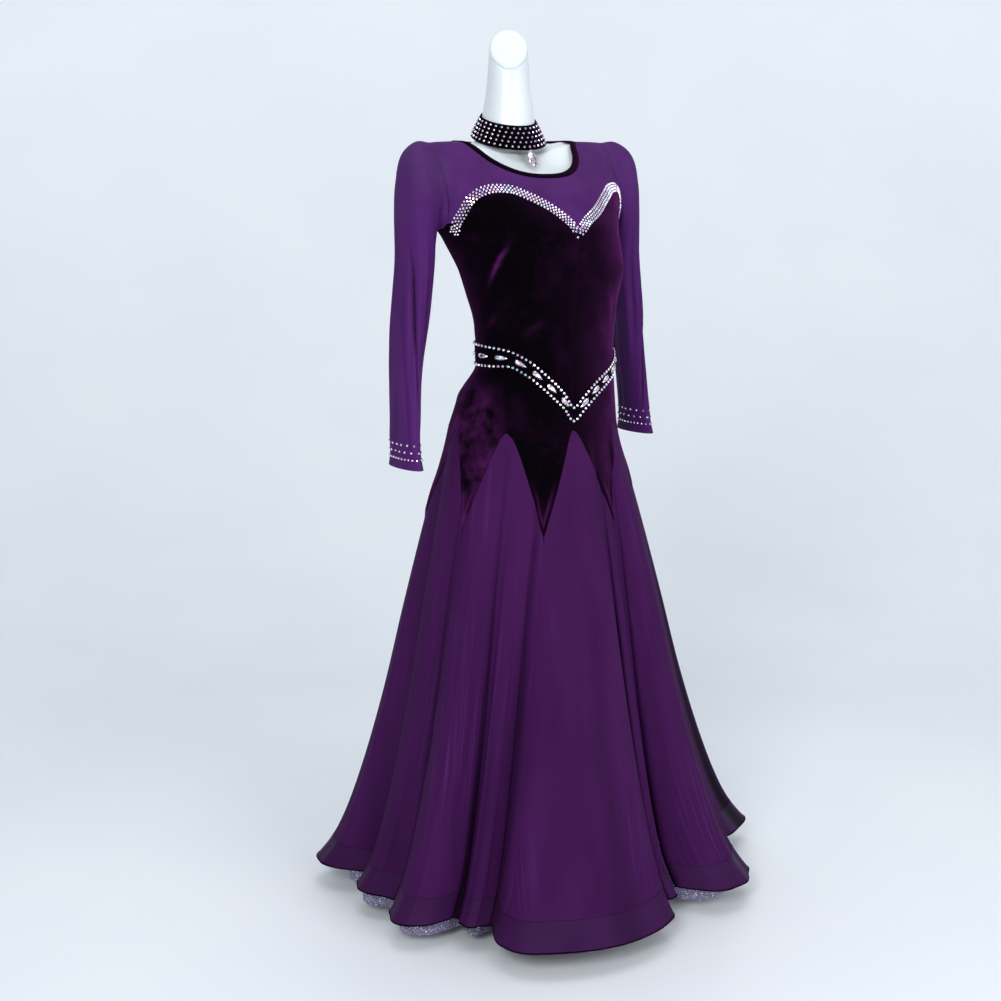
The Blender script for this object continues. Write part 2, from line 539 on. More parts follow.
def armhole_station(angle):
    """Station of the armhole's foot at an angle."""
    side = np.abs(wrap(angle))
    return station_of_width(ARMHOLE_X / np.sin(np.radians(side)), *FOOT_RANGE)


def velvet_top(angle):
    """Height of the velvet's upper edge."""
    side = np.abs(wrap(angle))
    foot = float(armhole_station(FOOT))
    front = curve(((-FOOT, foot),) + SWEETHEART + ((FOOT, foot),), wrap(angle))
    back = curve(((180 - FOOT, foot),) + BACK_EDGE, side)
    under_arm = armhole_station(np.clip(side, FOOT, 180 - FOOT))
    return np.where(side < FOOT, front, np.where(side > 180 - FOOT, back, under_arm))


def godet_share(height):
    """Share of a gore's width that the godet takes at a height."""
    drop = progress(height, HIP, TIP)
    straight, arched, power = GODET_ARCH
    arch = straight * drop + arched * drop**power
    return np.where(height < TIP, 1.0, APEX_SHARE + (1 - APEX_SHARE - POINT_SHARE) * arch)


def gore_angles(gore, across, share):
    """Angles across a gore, from -1 at its right seam over 0 at its middle to 1 at its left seam."""
    middle = gore * GORE
    right, left = middle - DAGGERS[gore], DAGGERS[gore + 1] - middle
    return middle + np.where(across < 0, right, left) * across * share


def belt_line(angles, share):
    """Height of the belt at a share of its width, from its lower edge up."""
    low, high = (curve(BELT, wrap(angles), column) for column in (1, 2))
    return low + (high - low) * share


def neckline(turn, back, share):
    """The neckline at a turn: x and station. The share is 0 at the binding's seam and 1 at its free edge."""
    front, shoulder, behind = (edge - width * (1 - share) for edge, width in zip(NECKLINE, BINDING))
    shoulder = np.where(turn < 0, shoulder - NECKLINE[1] + NECKLINE_RIGHT, shoulder)
    low = behind if back else front
    sine = np.sin(np.radians(turn))
    round_it = np.sqrt(np.clip(1 - np.abs(sine)**NECK_ROUND[back], 0, 1))
    return half_width(shoulder) * sine, shoulder - (shoulder - low) * round_it


def angles_at(x, stations, back):
    """Angles at which the figure's surface has the x given, on its front or its back."""
    front = np.degrees(np.arcsin(np.clip(x / half_width(stations), -1, 1)))
    return 180 - front if back else front


# Meshes

def make_object(name, points, faces, materials, indices=None, uvs=None, crease=50):
    """A smooth-shaded object with sharp edges where it bends by more than the crease angle."""
    mesh = bpy.data.meshes.new(name)
    mesh.from_pydata(points.tolist(), [], faces)
    for made in materials:
        mesh.materials.append(made)
    if indices is not None:
        mesh.polygons.foreach_set("material_index", np.asarray(indices, np.int32))
    if uvs is not None:
        layer = mesh.uv_layers.new(name="cloth")
        corners = np.empty(len(mesh.loops), np.int32)
        mesh.loops.foreach_get("vertex_index", corners)
        layer.data.foreach_set("uv", uvs[corners].ravel())
    mesh.shade_smooth()
    if crease:
        mesh.set_sharp_from_angle(angle=math.radians(crease))
    obj = bpy.data.objects.new(name, mesh)
    bpy.context.scene.collection.objects.link(obj)
    return obj


def quads(columns, rows, closed=False):
    """Faces between the points of a grid, column by column."""
    this = np.arange(columns if closed else columns - 1)[:, None] * rows + np.arange(rows - 1)
    following = (this + rows) % (columns * rows)
    return np.stack([this, following, following + 1, this + 1], -1).reshape(-1, 4)


def wall(name, node, slot, material, inside, outside, closed, uv, relief=None):
    """A closed wall of cloth between two grids of points, columns round the body and rows up it.

    It stands for a node of the frame. Its point attribute nap is how far the cloth stands up in a ridge,
    where a velvet's pile opens, and hollow how deep it lies in a fold, where less light comes.
    """
    columns, rows = inside.shape[:2]
    half = columns * rows
    between_rows = quads(columns, rows, closed)
    faces = [between_rows + half, between_rows[:, [0, 3, 2, 1]]]
    this = np.arange(columns if closed else columns - 1) * rows
    following = (this + rows) % half
    faces += [np.stack([this, following, following + half, this + half], -1),
              np.stack([this, this + half, following + half, following], -1) + rows - 1]
    if not closed:
        low, last = np.arange(rows - 1), half - rows
        faces += [np.stack([low, low + half, low + half + 1, low + 1], -1),
                  np.stack([low, low + 1, low + half + 1, low + half], -1) + last]
    faces = np.concatenate(faces).tolist()
    points = np.concatenate([inside.reshape(-1, 3), outside.reshape(-1, 3)])
    piece = make_object(name, points, faces, [material], uvs=np.concatenate([uv.reshape(-1, 2)] * 2))
    if relief is not None:
        for mark, values in (("nap", progress(relief, 0, NAP_RIDGE)**2),
                             ("hollow", progress(-relief, 0, HOLLOW))):
            made = piece.data.attributes.new(mark, "FLOAT", "POINT")
            made.data.foreach_set("value", np.tile(values.ravel(), 2))
    finish_piece(piece, slot, node)


def cloth_uv(points):
    """Distances along a grid's columns and rows, for patterns at real size."""
    across = np.linalg.norm(np.diff(points, axis=0), axis=-1)
    along = np.linalg.norm(np.diff(points, axis=1), axis=-1)
    u = np.concatenate([np.zeros((1, points.shape[1])), across.cumsum(0)])
    v = np.concatenate([np.zeros((points.shape[0], 1)), along.cumsum(1)], 1)
    return np.stack([u - u[len(u) // 2], v], -1)


def seam_dip(uv, sides, ends):
    """How far the cloth sinks beside its seams."""
    u, v = uv[..., 0] - uv[:1, :, 0], uv[..., 1]
    near = np.full(u.shape, 1.0)
    if sides:
        near = np.minimum(near, np.minimum(u, u[-1:] - u))
    if "low" in ends:
        near = np.minimum(near, v)
    if "high" in ends:
        near = np.minimum(near, v[:, -1:] - v)
    return SEAM_DIP * np.exp(-(near / SEAM_WIDTH)**2)


def creases(rows, angles, stations, radius=0.15):
    """Ridges and troughs along short lines on the body."""
    u, v = np.radians(wrap(angles)) * radius, stations
    relief = np.zeros(np.broadcast(u, v).shape)
    for a0, s0, a1, s1, width, height in rows:
        start = np.array([math.radians(a0) * radius, s0])
        run = np.array([math.radians(a1 - a0) * radius, s1 - s0])
        length = np.hypot(*run)
        for shift in (-360, 0, 360):
            du, dv = u + math.radians(shift) * radius - start[0], v - start[1]
            along = (du * run[0] + dv * run[1]) / length**2
            aside = (du * run[1] - dv * run[0]) / length
            ends = np.clip(1 - ((along - 0.5) / CREASE_ENDS[0])**2, 0, 1)**CREASE_ENDS[1]
            relief += height * np.exp(-(aside / width)**2) * ends
    return relief


def skirt_folds(angles, heights):
    """The skirt's finer folds, deeper towards the hem."""
    relief = np.zeros(np.broadcast(angles, heights).shape)
    for middle, width, height, start, end in SKIRT_FOLDS:
        run = progress(heights, start, end)
        off = wrap(angles - middle)
        relief += height * run**FOLD_GROWTH * np.exp(-(off / width)**2)
    return relief


def cloth(name, node, slot, material, angles, stations, closed=False, relief=0.0, raised=0.0, lift=0.0,
          ends=("low", "high")):
    """A fine wall of cloth on the dress's surface."""
    normal = outward(surface, angles, stations)
    base = surface(angles, stations)
    uv = cloth_uv(base)
    height = EASE + lift + relief - seam_dip(uv, not closed, ends)
    inside = base + normal * np.broadcast_to(height, angles.shape)[..., None]
    outside = inside + normal * np.broadcast_to(CLOTH + raised, angles.shape)[..., None]
    for face in (inside, outside):
        high = face[..., 2] > ARMHOLE_FROM
        face[..., 0] = np.where(high, np.clip(face[..., 0], -ARMHOLE_X, ARMHOLE_X), face[..., 0])
    wall(name, node, slot, material, inside, outside, closed, uv, np.broadcast_to(relief, angles.shape))


def finish_piece(piece, slot, *nodes):
    """Tell the frame what carries a piece, its material slot and the nodes that it stands for."""
    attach(piece, "root")
    if nodes:
        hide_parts(*nodes)


# Materials

BLACK, WHITE = (0.0, 0.0, 0.0), (1.0, 1.0, 1.0)
THIN_COVER = 0.14                          # how much less the mesh covers where it is stretched thin
THIN_TINT = 0.4                            # how far its colour goes there to the lighter one
THIN_HEIGHTS, THIN_SIDES = (1.215, 1.300), (0.130, 0.180)
HIP_HEIGHTS, HIP_SIDES = (0.972, 0.925), (0.114, 0.142)
BLOOM_POWER = 2.1                          # how fast a velvet blooms towards its edges
BRUSHED = (-0.08, 0.06, 0.45)              # x where the pile turns from away to open, and its share before
RIDGE_BLOOM = 0.62                         # bloom that a ridge adds
FOLD_POWER, FOLD_SHADE = 1.4, 0.12         # how a fold darkens with its depth, and how dark it gets


class Look:
    """A material with short ways to add nodes to its tree."""

    def __init__(self, name):
        self.material = bpy.data.materials.new(name)
        self.material.use_nodes = True
        self.tree = self.material.node_tree
        self.place = self.node("ShaderNodeTexCoord").outputs["Object"]

    def node(self, kind, inputs=None, **settings):
        made = self.tree.nodes.new(kind)
        for key, value in settings.items():
            setattr(made, key, value)
        self.feed(made, inputs or {})
        return made

    def feed(self, node, inputs):
        """Link an output of another node to each socket, or set its number, vector or colour."""
        for key, value in inputs.items():
            socket = node.inputs[key]
            if isinstance(value, bpy.types.NodeSocket):
                self.tree.links.new(value, socket)
            else:
                socket.default_value = (*value, 1.0) if socket.type == "RGBA" else value

    def shade(self, inputs):
        self.feed(self.tree.nodes["Principled BSDF"], inputs)

    def maths(self, operation, a, b=0.0):
        return self.node("ShaderNodeMath", {0: a, 1: b}, operation=operation).outputs["Value"]

    def mix(self, share, a, b):
        return self.node("ShaderNodeMix", {"Factor": share, 6: a, 7: b}, data_type="RGBA").outputs[2]

    def noise(self, vector, scale, detail=3.0, rough=0.55):
        return self.node("ShaderNodeTexNoise", {"Vector": vector, "Scale": scale, "Detail": detail,
                                                "Roughness": rough}).outputs["Fac"]

    def spread(self, value, low, high, first=0.0, last=1.0):
        """The value, carried from the range low to high to the range first to last."""
        return self.node("ShaderNodeMapRange", {"Value": value, "From Min": low, "From Max": high,
                                                "To Min": first, "To Max": last}).outputs["Result"]

    def ramp(self, value, *stops):
        """A colour ramp: position and colour of each stop."""
        made = self.node("ShaderNodeValToRGB", {"Fac": value})
        band = made.color_ramp
        while len(band.elements) < len(stops):
            band.elements.new(0.5)
        for element, (position, colour) in zip(band.elements, stops):
            element.position = position
            element.color = (*colour, 1.0)
        return made.outputs["Color"]

    def scaled(self, vector, scale):
        return self.node("ShaderNodeMapping", {"Vector": vector, "Scale": scale}).outputs["Vector"]

    def mark(self, name):
        """A point attribute of the mesh."""
        return self.node("ShaderNodeAttribute", attribute_name=name).outputs["Fac"]

    def axes(self):
        return self.node("ShaderNodeSeparateXYZ", {"Vector": self.place}).outputs

    def bump(self, height, strength, distance):
        made = self.node("ShaderNodeBump", {"Height": height, "Strength": strength, "Distance": distance})
        self.shade({"Normal": made.outputs["Normal"]})

    def patches(self, heights, sides, scale):
        """An uneven mask that fills up between two heights and two distances from the middle plane."""
        axes = self.axes()
        region = self.maths("MULTIPLY", self.spread(axes["Z"], *heights),
                            self.spread(self.maths("ABSOLUTE", axes["X"]), *sides))
        cloud = self.ramp(self.noise(self.place, scale, 4.0), (0.38, BLACK), (0.62, WHITE))
        return self.maths("MULTIPLY", region, cloud)

    def streaks(self, flat):
        """Thin upright streaks that come and go."""
        line = self.noise(self.scaled(flat, (1.0, 0.022, 1.0)), 120.0, 2.0)
        where = self.noise(self.place, 4.0, 2.0)
        return self.maths("MULTIPLY", self.ramp(line, (0.52, BLACK), (0.72, WHITE)),
                          self.ramp(where, (0.46, BLACK), (0.64, WHITE)))


def between(a, b, share):
    """A colour between two others."""
    return tuple(d + (n - d) * share for d, n in zip(a, b))


def velvet_material(name, deep, nap, bloom, mottle=9.0, hips=0.0):
    """Crushed velvet: near black face on, with a plum bloom at edges and where the pile lies over."""
    look = Look(name)
    cloud = look.noise(look.place, mottle, 6.0, 0.68)
    patch = look.ramp(cloud, (0.50, deep), (0.68, between(deep, nap, 0.35)), (0.84, nap))
    facing = look.node("ShaderNodeLayerWeight", {"Blend": 0.5}).outputs["Facing"]
    lean = look.maths("MULTIPLY", look.noise(look.place, mottle * 2.2, 5.0, 0.62), 1.8)
    lit = look.maths("MULTIPLY", look.maths("POWER", facing, BLOOM_POWER),
                     look.spread(look.axes()["X"], *BRUSHED))
    lit = look.maths("ADD", lit, look.maths("MULTIPLY", look.mark("nap"), RIDGE_BLOOM))
    if hips:
        over = look.maths("MULTIPLY", look.patches(HIP_HEIGHTS, HIP_SIDES, 30.0), hips)
        lit = look.maths("ADD", lit, over)
    colour = look.mix(look.maths("MULTIPLY", lit, lean), patch, bloom)
    look.shade({"Base Color": colour, "Roughness": 0.9, "Specular IOR Level": 0.02})
    look.bump(look.noise(look.place, 900.0, 2.0, 0.6), 0.25, 0.0004)
    return look.material


def sheer_material(name, dark, light, cover, weave, roughness=0.62, streak=22.0, thin=None, glint=None):
    """A fine woven or knitted cloth with a net of threads that lets a little through."""
    look = Look(name)
    flat = look.node("ShaderNodeUVMap", uv_map="cloth").outputs["UV"]
    cloud = look.noise(look.scaled(look.place, (1.0, 1.0, 0.12)), streak, 3.0, 0.5)
    colour = look.ramp(cloud, (0.30, dark), (0.72, light))
    if glint:
        colour = look.mix(look.streaks(flat), colour, glint)
    if thin:
        worn = look.patches(THIN_HEIGHTS, THIN_SIDES, 22.0)
        colour = look.mix(look.maths("MULTIPLY", worn, THIN_TINT), colour, thin)
    deep = look.maths("POWER", look.mark("hollow"), FOLD_POWER)
    colour = look.mix(deep, colour, tuple(c * FOLD_SHADE for c in dark))
    look.shade({"Base Color": colour, "Roughness": roughness, "Specular IOR Level": 0.06})
    threads = [look.node("ShaderNodeTexWave", {"Vector": flat, "Scale": weave / math.tau, "Distortion": 0.0},
                         wave_type="BANDS", bands_direction=way, wave_profile="SIN").outputs["Fac"]
               for way in ("X", "Y")]
    net = look.maths("MAXIMUM", *threads)
    look.bump(net, 0.35, 0.0003)
    if cover < 1.0:
        solid = look.spread(net, 0.0, 1.0, cover, 1.0)
        if thin:
            solid = look.maths("SUBTRACT", solid, look.maths("MULTIPLY", worn, THIN_COVER))
        look.shade({"Alpha": solid})
    return look.material


def glitter_material(name, colour, cover):
    """Sheer tulle sprinkled with glitter."""
    look = Look(name)
    specks = look.node("ShaderNodeTexVoronoi", {"Vector": look.place, "Scale": 260.0}, feature="F1")
    spark = look.maths("LESS_THAN", specks.outputs["Distance"], 0.22)
    base = look.ramp(look.noise(look.place, 14.0), (0.3, tuple(c * 0.72 for c in colour)), (0.7, colour))
    look.shade({"Base Color": look.mix(spark, base, (0.92, 0.90, 1.0)),
                "Metallic": look.maths("MULTIPLY", spark, 0.8), "Roughness": 0.35,
                "Alpha": look.spread(spark, 0.0, 1.0, cover, 1.0)})
    look.bump(look.noise(look.place, 700.0, 2.0), 0.3, 0.0003)
    return look.material


def stone_material(name, colour, film):
    """A foil-backed crystal with a rainbow coat."""
    look = Look(name)
    lively = tuple(min(1.0, c * 1.25) for c in colour)
    look.shade({"Base Color": look.ramp(look.noise(look.place, 160.0, 1.0), (0.35, colour), (0.65, lively)),
                "Metallic": 0.85, "Roughness": 0.10, "Coat Weight": 0.6, "Coat Roughness": 0.03,
                "Thin Film Thickness": film})
    return look.material


def plain_look(name, dark, light, roughness, scale=8.0, metallic=0.0, coat=0.0, grain=0.0006):
    """Paint, plastic or metal with a little cloud in its colour and a fine grain."""
    look = Look(name)
    rough = look.spread(look.noise(look.place, scale * 4), 0.0, 1.0, roughness * 0.85, roughness * 1.15)
    look.shade({"Base Color": look.ramp(look.noise(look.place, scale), (0.3, dark), (0.7, light)),
                "Roughness": rough, "Metallic": metallic, "Coat Weight": coat, "Coat Roughness": 0.2})
    look.bump(look.noise(look.place, 420.0, 2.0), 0.06, grain)
    return look


def plain_material(*numbers):
    """The material of a plain look."""
    return plain_look(*numbers).material


DEEP_PLUM = (0.0012, 0.0005, 0.0016)
velvet = velvet_material("black_plum_velvet", DEEP_PLUM, (0.0200, 0.0024, 0.0220), (0.1150, 0.0160, 0.1300),
                         hips=0.34)
trim_velvet = velvet_material("trim_velvet", DEEP_PLUM, (0.0040, 0.0008, 0.0050), (0.0420, 0.0060, 0.0460),
                              30.0)
mesh_cloth = sheer_material("purple_mesh", (0.053, 0.0100, 0.092), (0.077, 0.0160, 0.132), 0.87, 2400.0,
                            thin=(0.098, 0.044, 0.162))
seam_thread = plain_material("seam_thread", (0.026, 0.006, 0.044), (0.034, 0.008, 0.058), 0.7, 40.0)
chiffon = sheer_material("purple_chiffon", (0.033, 0.0044, 0.048), (0.048, 0.0071, 0.068), 1.0, 3000.0,
                         0.75, 14.0, glint=(0.064, 0.0120, 0.104))
band_cloth = sheer_material("hem_band_cloth", (0.030, 0.0046, 0.044), (0.041, 0.0076, 0.059), 0.96, 1500.0,
                            0.5, 10.0)
tulle = glitter_material("glitter_tulle", (0.20, 0.17, 0.32), 0.55)
form_shell = plain_material("form_shell", (0.60, 0.66, 0.70), (0.68, 0.73, 0.76), 0.38, 6.0, 0.0, 0.2)
steel = plain_material("brushed_steel", (0.50, 0.51, 0.52), (0.62, 0.63, 0.64), 0.28, 30.0, 1.0, 0.0, 0.0003)
black_tape = plain_material("zip_tape", (0.010, 0.006, 0.012), (0.020, 0.010, 0.024), 0.55, 60.0)
# A stone's name, colour and thickness of its rainbow film
STONE_COLOURS = (
    ("stone_clear", (0.86, 0.88, 0.94), 320.0),
    ("stone_pink", (0.88, 0.55, 0.72), 420.0),
    ("stone_violet", (0.62, 0.55, 0.90), 380.0),
    ("stone_sea", (0.55, 0.80, 0.86), 480.0),
    ("stone_amber", (0.92, 0.70, 0.52), 520.0),
    ("stone_smoke", (0.26, 0.27, 0.34), 300.0),
)
stone_looks = [stone_material(*row) for row in STONE_COLOURS]


# Cloth pieces

def dagger_roll(angles, stations, across):
    """Soft rolls along both edges of a dagger, where the godets pull at the velvet."""
    inward, width, height = ROLL
    wide = np.linalg.norm(surface(angles[-1], stations[-1]) - surface(angles[0], stations[0]), axis=-1)
    away = np.minimum(across, 1 - across)[:, None] * wide
    fade = progress(stations, *ROLL_END)
    return height * np.exp(-((away - inward) / width)**2) * fade


def velvet_panels():
    """The eight panels: a dagger point below the hip and a princess panel above it."""
    across = np.linspace(0, 1, PANEL_COLUMNS)
    levels = np.linspace(TIP, HIP, PANEL_ROWS[0])
    rows = np.append(levels, HIP + ABOVE_APEX)
    share = godet_share(levels)
    for panel, name in enumerate(PANELS):
        right = gore_angles(panel, np.array(1.0), share)
        left = gore_angles((panel + 1) % GORES, np.array(-1.0), share) + (360 if panel == GORES - 1 else 0)
        lower = right + across[:, None] * (left - right)
        columns = GORE * (panel + across)
        lower = np.concatenate([lower, columns[:, None]], 1)
        top = velvet_top(columns)
        upper_share = np.linspace(0, 1, PANEL_ROWS[1])[1:]
        upper = rows[-1] + (top - rows[-1])[:, None] * upper_share
        stations = np.concatenate([np.broadcast_to(rows, lower.shape), upper], 1)
        angles = np.concatenate([lower, np.broadcast_to(columns[:, None], upper.shape)], 1)
        relief = creases(VELVET_CREASES, angles, stations) + dagger_roll(angles, stations, across)
        under_belt = progress(np.abs(stations - belt_line(angles, 0.5)), *BELT_CALM)
        edge = progress(top[:, None] - stations, 0, EDGE_CALM)
        cloth(name + "_velvet", "velvet_" + name, "velvet", velvet, angles, stations,
              relief=relief * under_belt * edge)


def skirt_gores():
    """The godets between the dagger points, with their finer folds."""
    across = np.linspace(-1, 1, GORE_COLUMNS)
    below, above = GORE_ROWS
    levels = np.concatenate([np.linspace(BAND_TOP, TIP, below)[:-1], np.linspace(TIP, HIP, above)])
    for gore in range(GORES):
        angles = gore_angles(gore, across[:, None], godet_share(levels)[None, :])
        stations = np.broadcast_to(levels, angles.shape).copy()
        name = "gore_%d" % (gore + 1)
        cloth(name, "skirt_" + name, "chiffon", chiffon, angles, stations,
              relief=skirt_folds(angles, stations), ends=("high",))


def hem():
    """The stiffened band and its piped edge."""
    across = np.linspace(-1, 1, GORE_COLUMNS)[:-1]
    columns = np.concatenate([gore_angles(gore, across, 1.0) for gore in range(GORES)])
    levels = np.linspace(HEM, BAND_TOP, HEM_ROWS)
    angles, stations = np.meshgrid(columns, levels, indexing="ij")
    relief = skirt_folds(angles, stations)
    cloth("hem_band_cloth", "hem_band", "hem_band", band_cloth, angles, stations, closed=True, relief=relief,
          ends=("high",))
    edge = surface(columns, np.full_like(columns, HEM + PIPING * PIPING_RISE))
    normal = outward(surface, columns, np.full_like(columns, HEM + PIPING))
    edge = edge + normal * (EASE + CLOTH / 2 + relief[:, 0])[:, None]
    tube("hem_piping", edge, PIPING, trim_velvet, CORD, "hem_band")
    top = surface(columns, np.full_like(columns, BAND_TOP - HEM_SEAM_DOWN))
    top = top + normal * (EASE + CLOTH + HEM_SEAM + relief[:, -1])[:, None]
    tube("hem_seam_cord", top, HEM_SEAM, band_cloth, FINE_CORD, "hem_band")


def tube(name, path, radius, material, sides, slot):
    """A closed cord along a closed path."""
    ahead = unit(np.roll(path, -1, 0) - np.roll(path, 1, 0))
    aside = unit(np.cross(ahead, [0.0, 0.0, 1.0]))
    above = np.cross(aside, ahead)
    turn = np.arange(sides) * math.tau / sides
    rings = path[:, None] + radius * spokes(aside, above, turn)
    p = np.arange(len(path))[:, None] * sides
    q = np.roll(p, -1)
    s = np.arange(sides)[None, :]
    t = np.roll(s, -1)
    faces = np.stack([p + s, p + t, q + t, q + s], -1).reshape(-1, 4).tolist()
    finish_piece(make_object(name, rings.reshape(-1, 3), faces, [material], crease=0), slot)


def petticoat():
    """The rippled underskirt, a little inside the skirt."""
    def shape(angle, height):
        hang = skirt(angle, np.maximum(height, HEM), curve(UNDER, wrap(angle)))
        hang[..., 2] = height
        return hang

    columns = np.arange(0, 360, 360 / PETTICOAT_COLUMNS)
    below, above = PETTICOAT_ROWS
    levels = np.concatenate([np.linspace(PETTICOAT_HEM, PETTICOAT_SPLIT, below)[:-1],
                             np.linspace(PETTICOAT_SPLIT, PETTICOAT_TOP, above)])
    angles, heights = np.meshgrid(columns, levels, indexing="ij")
    base = shape(angles, heights)
    normal = unit(outward(shape, angles, np.maximum(heights, HEM + 0.001)) * [1, 1, 0])
    top, low, depth, waves = RIPPLE
    ripple = progress(heights, top, low)**1.5 * depth * np.sin(np.radians(angles) * waves)
    share = progress(heights, *PETTICOAT_NARROW)
    gap = PETTICOAT_GAP[0] + (PETTICOAT_GAP[1] - PETTICOAT_GAP[0]) * share
    outside = base + normal * (EASE - gap - np.abs(ripple))[..., None]
    inside = outside - normal * CLOTH
    wall("petticoat_tulle", "petticoat", "petticoat", tulle, inside, outside, True, cloth_uv(outside))


def yoke_grid(back):
    """Angles and stations of a yoke, between the velvet's edge and the neckline and shoulder seams."""
    neck, shoulder = YOKE_COLUMNS
    half = np.linspace(0, FOOT, neck + shoulder)
    shares = 1 - (1 - np.linspace(0, 1, YOKE_ROWS))**YOKE_CROWD
    sides = []
    for way in (1, -1):
        neck_x, neck_high = neckline(way * np.linspace(0, 90, neck + 1), back, 0)
        shoulder_x = np.linspace(abs(neck_x[-1]), ARMHOLE_X, shoulder)[1:]
        high_x = np.concatenate([np.abs(neck_x), shoulder_x])
        high = np.concatenate([neck_high, station_of_width(shoulder_x, *SHOULDER_RANGE)])
        low = velvet_top(way * (180 - half if back else half))
        low_x = half_width(low) * np.sin(np.radians(half))
        x = low_x[:, None] + (high_x - low_x)[:, None] * shares
        stations = low[:, None] + (high - low)[:, None] * shares
        angles = angles_at(x, stations, back)
        angles[neck:, -1] = 90
        sides.append((angles, stations))
    (left, left_stations), (right, right_stations) = sides
    if back:
        return (np.concatenate([left[::-1], 360 - right[1:]]),
                np.concatenate([left_stations[::-1], right_stations[1:]]))
    return np.concatenate([-right[:0:-1], left]), np.concatenate([right_stations[:0:-1], left_stations])


def yokes():
    """The mesh front and back above the velvet."""
    for name, back in (("yoke_front", False), ("yoke_back", True)):
        angles, stations = yoke_grid(back)
        relief = creases(YOKE_CREASES, angles, stations)
        relief *= progress(stations, *YOKE_CALM)
        relief[:, 0] = 0
        cloth(name + "_mesh", name, "mesh", mesh_cloth, angles, stations, relief=relief)


def binding():
    """The rolled velvet edge round the neckline."""
    turns = np.linspace(-90, 90, BINDING_COLUMNS)[:, None]
    shares = np.linspace(0, 1, BINDING_ROWS)[None, :]
    rings = []
    for back, way in ((False, 1), (True, -1)):
        x, stations = neckline(way * turns, back, shares)
        angles = angles_at(x, stations, back)
        angles[0], angles[-1] = way * -90, (90 if way > 0 else 270)
        rings.append((angles[:-1], stations[:-1]))
    rings[1][0][0] = 90
    angles, stations = (np.concatenate([front, behind]) for front, behind in zip(*rings))
    edge, middle = BINDING_ROLL
    roll = middle * np.sin(shares * math.pi)
    cloth("neckline_velvet", "neckline_binding", "trim", trim_velvet, angles, stations, closed=True,
          raised=edge + np.broadcast_to(roll, angles.shape), ends=("low",))


def belt():
    """The padded band with its V at the front."""
    columns = np.arange(0, 360, BELT_STEP)
    shares = np.linspace(0, 1, BELT_ROWS)
    angles, spread = np.meshgrid(columns, shares, indexing="ij")
    stations = belt_line(angles, spread)
    pad = BELT_PAD * np.sin(spread * math.pi)
    cloth("belt_velvet", "belt", "trim", trim_velvet, angles, stations, closed=True, lift=CLOTH + LAY,
          raised=TRIM - CLOTH + pad, ends=())


def ring_spline(rings, steps):
    """Rings between the rings given, on smooth curves through their points."""
    rings = np.concatenate([2 * rings[:1] - rings[1:2], rings, 2 * rings[-1:] - rings[-2:-1]])
    out = []
    for k in range(1, len(rings) - 2):
        a, b, c, d = rings[k - 1:k + 3]
        before = np.linalg.norm(b - a, axis=-1, keepdims=True) + 1e-6
        here = np.linalg.norm(c - b, axis=-1, keepdims=True) + 1e-6
        after = np.linalg.norm(d - c, axis=-1, keepdims=True) + 1e-6
        start = here * ((b - a) / before * here + (c - b) / here * before) / (before + here)
        end = here * ((c - b) / here * after + (d - c) / after * here) / (here + after)
        for u in np.arange(steps) / steps:
            out.append((2 * u**3 - 3 * u**2 + 1) * b + (u**3 - 2 * u**2 + u) * start
                       + (3 * u**2 - 2 * u**3) * c + (u**3 - u**2) * end)
    out.append(rings[-2])
    return np.array(out)


def sleeve_grid(turn, lift):
    """The left sleeve's cloth: points at each turn round it, from the cuff up to the armhole."""
    seam_x = ARMHOLE_X + SEAM
    tip = float(station_of_width(ARMHOLE_X, *TIP_RANGE))
    foot = float(armhole_station(90))
    stations = np.linspace(foot, tip, SEAM_STEPS)
    seam_angle = np.degrees(np.arcsin(np.clip(ARMHOLE_X / half_width(stations), -1, 1)))
    edges = []
    for angle in (seam_angle, 180 - seam_angle):
        edges.append(surface(angle, stations) + outward(surface, angle, stations) * (EASE + CLOTH / 2))
    hinge_z = edges[0][0, 2]
    full = edges[0][-1, 2] - hinge_z
    level = hinge_z + full * (1 + np.cos(turn)) / 2
    ahead, behind = (np.interp(level, edge[:, 2], edge[:, 1]) for edge in edges)
    seam_y = np.where(np.sin(turn) < 0, ahead, behind)
    rings = []
    for fan, reach, depth, share in HEAD:
        tilt = math.radians(fan)
        out = (reach if fan else full) * (1 + np.cos(turn)) / 2
        oval = SLEEVE[0][2] + depth * np.sin(turn)
        drop = SLEEVE_DROP * math.sin(tilt)
        rings.append(np.stack([seam_x + drop + out * math.sin(tilt), seam_y + (oval - seam_y) * share,
                               hinge_z - drop + out * math.cos(tilt)], -1))
    for height, middle_x, middle_y, half_x, half_y, crease in SLEEVE:
        height += lift * (hinge_z - height) / (hinge_z - CUFF)
        off = wrap(np.degrees(turn) - SLEEVE_CREASE)
        dent = crease * np.exp(-(off / SLEEVE_CREASE_SPREAD)**2)
        rings.append(np.stack([middle_x + (half_x - dent) * np.cos(turn),
                               middle_y + (half_y - dent) * np.sin(turn), np.full_like(turn, height)], -1))
    return ring_spline(np.array(rings), SLEEVE_STEPS).transpose(1, 0, 2)[:, ::-1]


